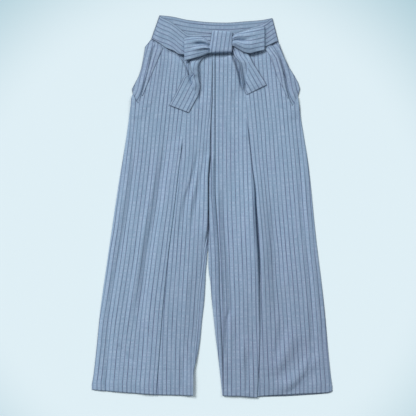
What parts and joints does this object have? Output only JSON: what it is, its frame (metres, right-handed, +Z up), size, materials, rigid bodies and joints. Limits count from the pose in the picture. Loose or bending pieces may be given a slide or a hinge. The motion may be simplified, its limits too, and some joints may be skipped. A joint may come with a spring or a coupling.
{
  "type": "hakama trousers",
  "caption": "Wide-legged striped cotton hakama trousers laid flat, with pleated fronts, slanted side openings and a belt tied in a front bow.",
  "frame": {"origin": "centre of the garment's bounding box in plan, at the surface it lies on", "axes": "+X towards the wearer's left, +Y from the hems to the waist, +Z up, out of the garment's front"},
  "size_m": [0.6242, 0.9942, 0.0138],
  "materials": {
    "front_cloth": "plain-woven cotton, grey-blue, with thin dark warp stripes running down the legs, softly pressed",
    "back_cloth": "the same striped cotton, stripes running down the legs",
    "gusset_cloth": "the same striped cotton, cut along the stripe",
    "opening_cloth": "the same striped cotton, stripes running along the slanted openings",
    "belt_cloth": "the same striped cotton made up double, stripes running along the belt",
    "bow_cloth": "the same striped cotton made up double, stripes running along the loops, knot and tails"
  },
  "bodies": {
    "root": {"right_back_leg": "back_cloth", "left_back_leg": "back_cloth", "right_side_flap": "opening_cloth", "left_side_flap": "opening_cloth", "right_front_leg": "front_cloth", "left_front_leg": "front_cloth", "centre_gusset": "gusset_cloth", "right_gusset": "gusset_cloth", "right_opening_band": "opening_cloth", "left_opening_band": "opening_cloth", "back_belt": "belt_cloth", "right_belt_stretch": "belt_cloth", "left_belt_stretch": "belt_cloth", "right_bow_tail": "bow_cloth", "left_bow_tail": "bow_cloth", "right_bow_loop": "bow_cloth", "left_bow_loop": "bow_cloth", "bow_knot": "bow_cloth"}
  },
  "joints": []
}
